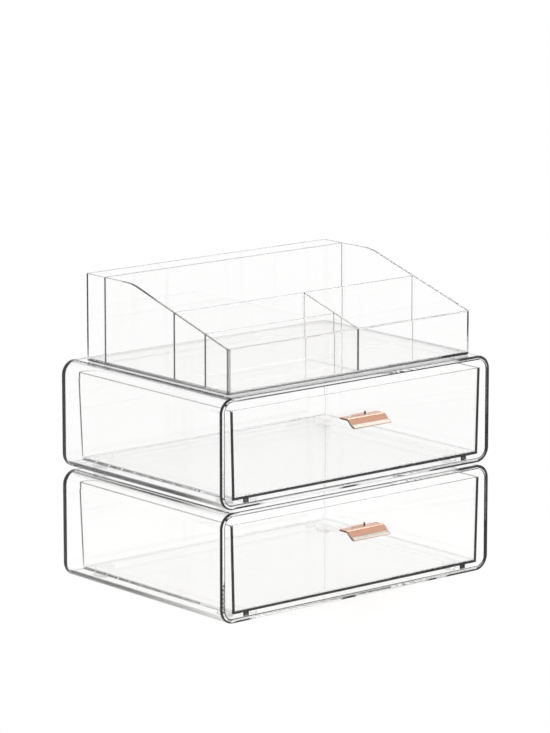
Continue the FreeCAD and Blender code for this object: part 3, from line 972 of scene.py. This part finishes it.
@dataclass
class Tray:
    """Open tray on top: a shell with sloping sides and four upright dividers."""

    wall: float = 2.2 * MM
    floor: float = 2.4 * MM
    front_height: float = 35.8 * MM
    high_side: float = 59.3 * MM
    shoulder: float = 50.0 * MM
    corner: float = 2.6 * MM
    bottom_edge: float = 1.6 * MM
    rim_edge: float = 0.4 * MM
    lift: float = 0.1 * MM
    inner_fillet: float = 0.8 * MM
    # broad_from and slope_line place the painted dark lines along the front's foot and the left slope.
    broad_from: float = 96.0 * MM
    slope_line: float = 12.0 * MM
    painted_dark_end: float = 0.45 * MM
    near: Pair = (0.1 * MM, 0.4 * MM)

    def __post_init__(self) -> None:
        """Reads the tray's box and works out its slope."""
        self.low, self.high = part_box("tray_shell")
        self.bend_y = self.high.y - self.high_side
        fall = self.high.z - (self.low.z + self.front_height)
        self.slope = fall / (self.bend_y - self.low.y)

    def top_at(self, y: Array) -> Array:
        """Height of the side walls' top line: level at the back, an arc of the shoulder's radius, a slope."""
        half = self.shoulder * math.tan(math.atan(self.slope) / 2)
        run = half * math.cos(math.atan(self.slope))
        sloped = self.high.z + (y - self.bend_y) * self.slope
        inside = np.clip(self.shoulder**2 - (y - self.bend_y - half) ** 2, 0, None)
        arc = self.high.z - self.shoulder + np.sqrt(inside)
        top = np.where(y < self.bend_y - run, sloped, np.where(y < self.bend_y + half, arc, self.high.z))
        return np.minimum(top, self.high.z)

    def loop(self, inset: float) -> Array:
        """Plan outline in XY, inset."""
        a, b = (self.low.x, self.low.y), (self.high.x, self.high.y)
        return outline(rectangle(a, b), self.corner, inset, 8, 48, self.near)

    def loft(self) -> Loft:
        """Carries the plan outline under the base, up outside, over the sloping rim and down inside."""
        inset, rise = quarter(self.bottom_edge, 5)
        over, fall = quarter(self.rim_edge, 3)
        turn, up = quarter(self.inner_fillet, 3)
        side_foot = self.low.z + self.lift + self.bottom_edge + EDGE_LINE
        ground = self.low.z + self.floor
        loops, zs, tones = [], [], []

        plan = self.loop(0.0)
        x, y = plan[:, 0], plan[:, 1]
        front, back = y < self.low.y + self.corner, y > self.high.y - self.corner
        left, right = x < self.low.x + self.corner, x > self.high.x - self.corner
        # Painted edge shade on the upright corners, along the foot, in a band above it and round the rim.
        upright = np.select([front & left, front & right, back & left], [0.7, 0.3, 0.2], 0.0)
        foot = np.select([front & (x > self.broad_from), front, left], [1.0, 0.95, 0.85], 0.4)
        band = np.select([foot > 0.97, front], [1.0, 0.4], 0.0)
        sloping = left & (y < self.bend_y + self.slope_line)
        rim = np.select([sloping, front, right & (y < self.bend_y)], [0.9, 0.35, 0.3], 0.2)

        def ring(i: float, z: float, tone: float | Array, from_top: bool = False) -> None:
            """Adds one loop at an inset, at the height z or z below the side walls' top line."""
            loop = self.loop(i)
            loops.append(loop)
            zs.append(self.top_at(loop[:, 1]) - z if from_top else z)
            tones.append(np.maximum(tone, upright * (i < self.wall)))

        for i, r in zip(inset, rise):
            ring(i, self.low.z + self.lift + r, foot)
        ring(0.0, side_foot, band)
        ring(0.0, side_foot + GUARD, 0.0)
        ring(0.0, self.rim_edge + GUARD, 0.0, True)
        for i, r in zip(over[::-1], fall[::-1]):
            ring(i, r, rim, True)
        for i, r in zip(self.wall - over, fall):
            ring(i, r, rim * 0.8, True)
        ring(self.wall, self.rim_edge + GUARD, 0.0, True)
        ring(self.wall, ground + self.inner_fillet + GUARD, 0.0)
        for i, r in zip(self.wall + turn[::-1], up[::-1]):
            ring(i, ground + r, 0.2)
        ring(self.wall + self.inner_fillet + GUARD, ground, 0.0)
        tones[0] = np.zeros(len(plan))
        return Loft.through(loops, zs, Plane.XY, tones)

    def divider_tone(self, loop: Array) -> Array:
        """Painted shade: dark on a divider's upright ends, lighter along its top."""
        across = np.minimum(loop[:, 0] - loop[:, 0].min(), loop[:, 0].max() - loop[:, 0])
        return np.where(across < self.painted_dark_end, 1.0, np.where(loop[:, 1] > loop[:, 1].mean(), 0.4, 0.25))

    def divider(self, node: str, plane: Plane) -> Loft:
        """Plate with the side walls' top line, a hair clear of what it is bonded to."""
        lo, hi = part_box(node)
        u, _, w = plane.value
        a, b, foot = lo[u] + BOND_GAP, hi[u] - BOND_GAP, lo.z + BOND_GAP
        ends = np.array([lo.y, lo.y if plane is Plane.XZ else hi.y])
        first, last = (float(top) for top in self.top_at(ends))
        corners = [(a, foot), (b, foot), (b, last), (a, first)]
        return slab(corners, 0.3 * MM, lo[w], hi[w], plane, 0.35 * MM, self.divider_tone, 3, self.near)

    def build(self) -> None:
        """Makes the shell, the dividers and the locating pads."""
        add_piece("tray_shell", "walls", [self.loft()], CLEAR, "tray")
        for name in ("palette", "cross", "front", "centre"):
            node = f"tray_{name}_divider"
            plane = Plane.YZ if name == "centre" else Plane.XZ
            add_piece(node, "plate", [self.divider(node, plane)], CLEAR, "tray")
        lo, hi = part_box("tray_locators")
        r, top = PAD_RADIUS, hi.z + self.lift - BOND_GAP
        places = [(x, y) for x in (lo.x + r, hi.x - r) for y in (lo.y + r, hi.y - r)]
        # The pads' rims carry a light painted edge shade.
        add_piece("tray_locators", "pads", discs(places, r, lo.z, top, 0.2 * MM, 0.2), CLEAR, "tray")


# ---- studio


@dataclass(frozen=True)
class Viewpoint:
    """Camera set by the angles and the distance at which it sees a point on the object."""

    azimuth: float = -40.180
    elevation: float = 11.4908
    roll: float = 0.0177
    focal: float = 4065.1
    anchor_pixel: Pair = (275.93, 572.23)
    depth: float = 3.294446
    image: Pair = (550.0, 733.0)

    def build(self) -> None:
        """Places the camera so that the middle of the lower casing's underside falls on the anchor pixel."""
        a, e, r = (math.radians(v) for v in (self.azimuth, self.elevation, self.roll))
        back = Vector((math.sin(a) * math.cos(e), -math.cos(a) * math.cos(e), math.sin(e)))
        right = (-back).cross(Vector((0, 0, 1))).normalized()
        up = right.cross(-back)
        right, up = right * math.cos(r) + up * math.sin(r), up * math.cos(r) - right * math.sin(r)
        lo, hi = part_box("lower_sleeve")
        anchor = Vector((0.0, (lo.y + hi.y) / 2, lo.z))
        du = (self.anchor_pixel[0] - self.image[0] / 2) / self.focal * self.depth
        dv = (self.image[1] / 2 - self.anchor_pixel[1]) / self.focal * self.depth
        place = anchor + back * self.depth - right * du - up * dv
        data = bpy.data.cameras.new("camera")
        data.sensor_width = 36.0
        data.lens = self.focal / max(self.image) * data.sensor_width
        data.clip_start = 0.1
        data.clip_end = 100.0
        camera = new_object("camera", data)
        camera.matrix_world = Matrix((right, up, back)).transposed().to_4x4()
        camera.location = place
        bpy.context.scene.camera = camera


@dataclass(frozen=True)
class Studio:
    """Pale floor, white surroundings and soft lamps."""

    floor_colour: Triple = (0.98, 0.98, 0.98)
    floor_radii: tuple[float, ...] = (0.2, 0.5, 1.0, 2.0, 8.0)
    floor_height: float = -0.0002
    floor_fade: Pair = (0.17, 0.36)
    sky_turn: Pair = (0.35, 0.85)
    sky_low: float = 0.95
    sky_high: float = 0.88
    ambient: float = 0.95

    def floor(self) -> None:
        """Round floor whose diffuse middle fades into plain white."""
        turn = np.linspace(0, 2 * math.pi, 96, endpoint=False)
        ring = np.stack([np.cos(turn), np.sin(turn), np.zeros(len(turn))], 1)
        points = np.concatenate([ring * radius for radius in self.floor_radii])
        points[:, 2] = self.floor_height
        grid = np.arange(len(points)).reshape(len(self.floor_radii), len(turn))
        across = np.roll(grid, -1, axis=1)
        quads = np.stack([grid[:-1], grid[1:], across[1:], across[:-1]], 2).reshape(-1, 4)
        mesh = bpy.data.meshes.new("floor")
        mesh.from_pydata(points.tolist(), [], quads.tolist() + [grid[0].tolist()])
        mesh.update()
        obj = new_object("floor", mesh)
        material = bpy.data.materials.new("studio_floor")
        tree = empty_tree(material)
        where = add_node(tree, "TexCoord")["Object"]
        away = add_node(tree, "VectorMath", {0: where}, operation="LENGTH")["Value"]
        span = {"Value": away, "From Min": self.floor_fade[0], "From Max": self.floor_fade[1]}
        fade = add_node(tree, "MapRange", span, interpolation_type="SMOOTHSTEP")["Result"]
        pale = add_node(tree, "BsdfDiffuse", {"Color": (*self.floor_colour, 1)})[0]
        mix = add_node(tree, "MixShader", {"Fac": fade, 1: pale, 2: add_node(tree, "Emission")[0]})
        add_node(tree, "OutputMaterial", {"Surface": mix[0]})
        mesh.materials.append(material)

    def sky(self) -> None:
        """White to the eye; to reflections and refractions it is white low down and greyer overhead."""
        world = bpy.data.worlds.new("studio_sky")
        tree = empty_tree(world)
        where = add_node(tree, "TexCoord")["Generated"]
        height = add_node(tree, "SeparateXYZ", {0: where})["Z"]
        span = {"Value": height, "From Min": self.sky_turn[0], "From Max": self.sky_turn[1]}
        span |= {"To Min": self.sky_low, "To Max": self.sky_high}
        up = add_node(tree, "MapRange", span, interpolation_type="SMOOTHSTEP")["Result"]
        rays = add_node(tree, "LightPath")
        diffuse = add_node(tree, "Mix", {"Factor": rays["Is Diffuse Ray"], "A": up, "B": self.ambient})
        seen = {"Factor": rays["Is Camera Ray"], "A": diffuse["Result"], "B": 1.0}
        strength = add_node(tree, "Mix", seen)["Result"]
        back = add_node(tree, "Background", {"Color": (1, 1, 1, 1), "Strength": strength})
        add_node(tree, "OutputWorld", {"Surface": back[0]})
        bpy.context.scene.world = world

    def lamp(self, name: str, place: Triple, size: float, power: float) -> None:
        """Adds a soft square lamp that faces the object's middle."""
        data = bpy.data.lights.new(name, "AREA")
        data.size = size
        data.energy = power
        obj = new_object(name, data)
        middle = Vector((0, 0, 0.1))
        obj.location = place
        obj.rotation_euler = (middle - Vector(place)).to_track_quat("-Z", "Y").to_euler()

    def build(self) -> None:
        """Sets the floor, the sky, the lamps, the colour transform and the bounces."""
        self.floor()
        self.sky()
        self.lamp("key_lamp", (1.33, 0.90, 1.48), size=0.62, power=4.8)
        self.lamp("fill_lamp", (-1.4, -1.2, 1.5), size=1.4, power=6.0)
        bpy.context.scene.view_settings.view_transform = "Standard"
        cycles = bpy.context.scene.cycles
        cycles.max_bounces = 48
        cycles.transmission_bounces = 48
        cycles.transparent_max_bounces = 64
        cycles.glossy_bounces = 24


def main() -> None:
    """Builds both drawer units, the tray and the studio."""
    logging.basicConfig(level=logging.INFO, format="%(name)s %(message)s")
    for level in Level:
        for part in (Sleeve, Feet, StopPegs, DrawerTub, DrawerUnderside, Handle):
            part(level).build()
    Tray().build()
    Viewpoint().build()
    Studio().build()
    bpy.context.view_layer.update()


if __name__ == "__main__":
    main()
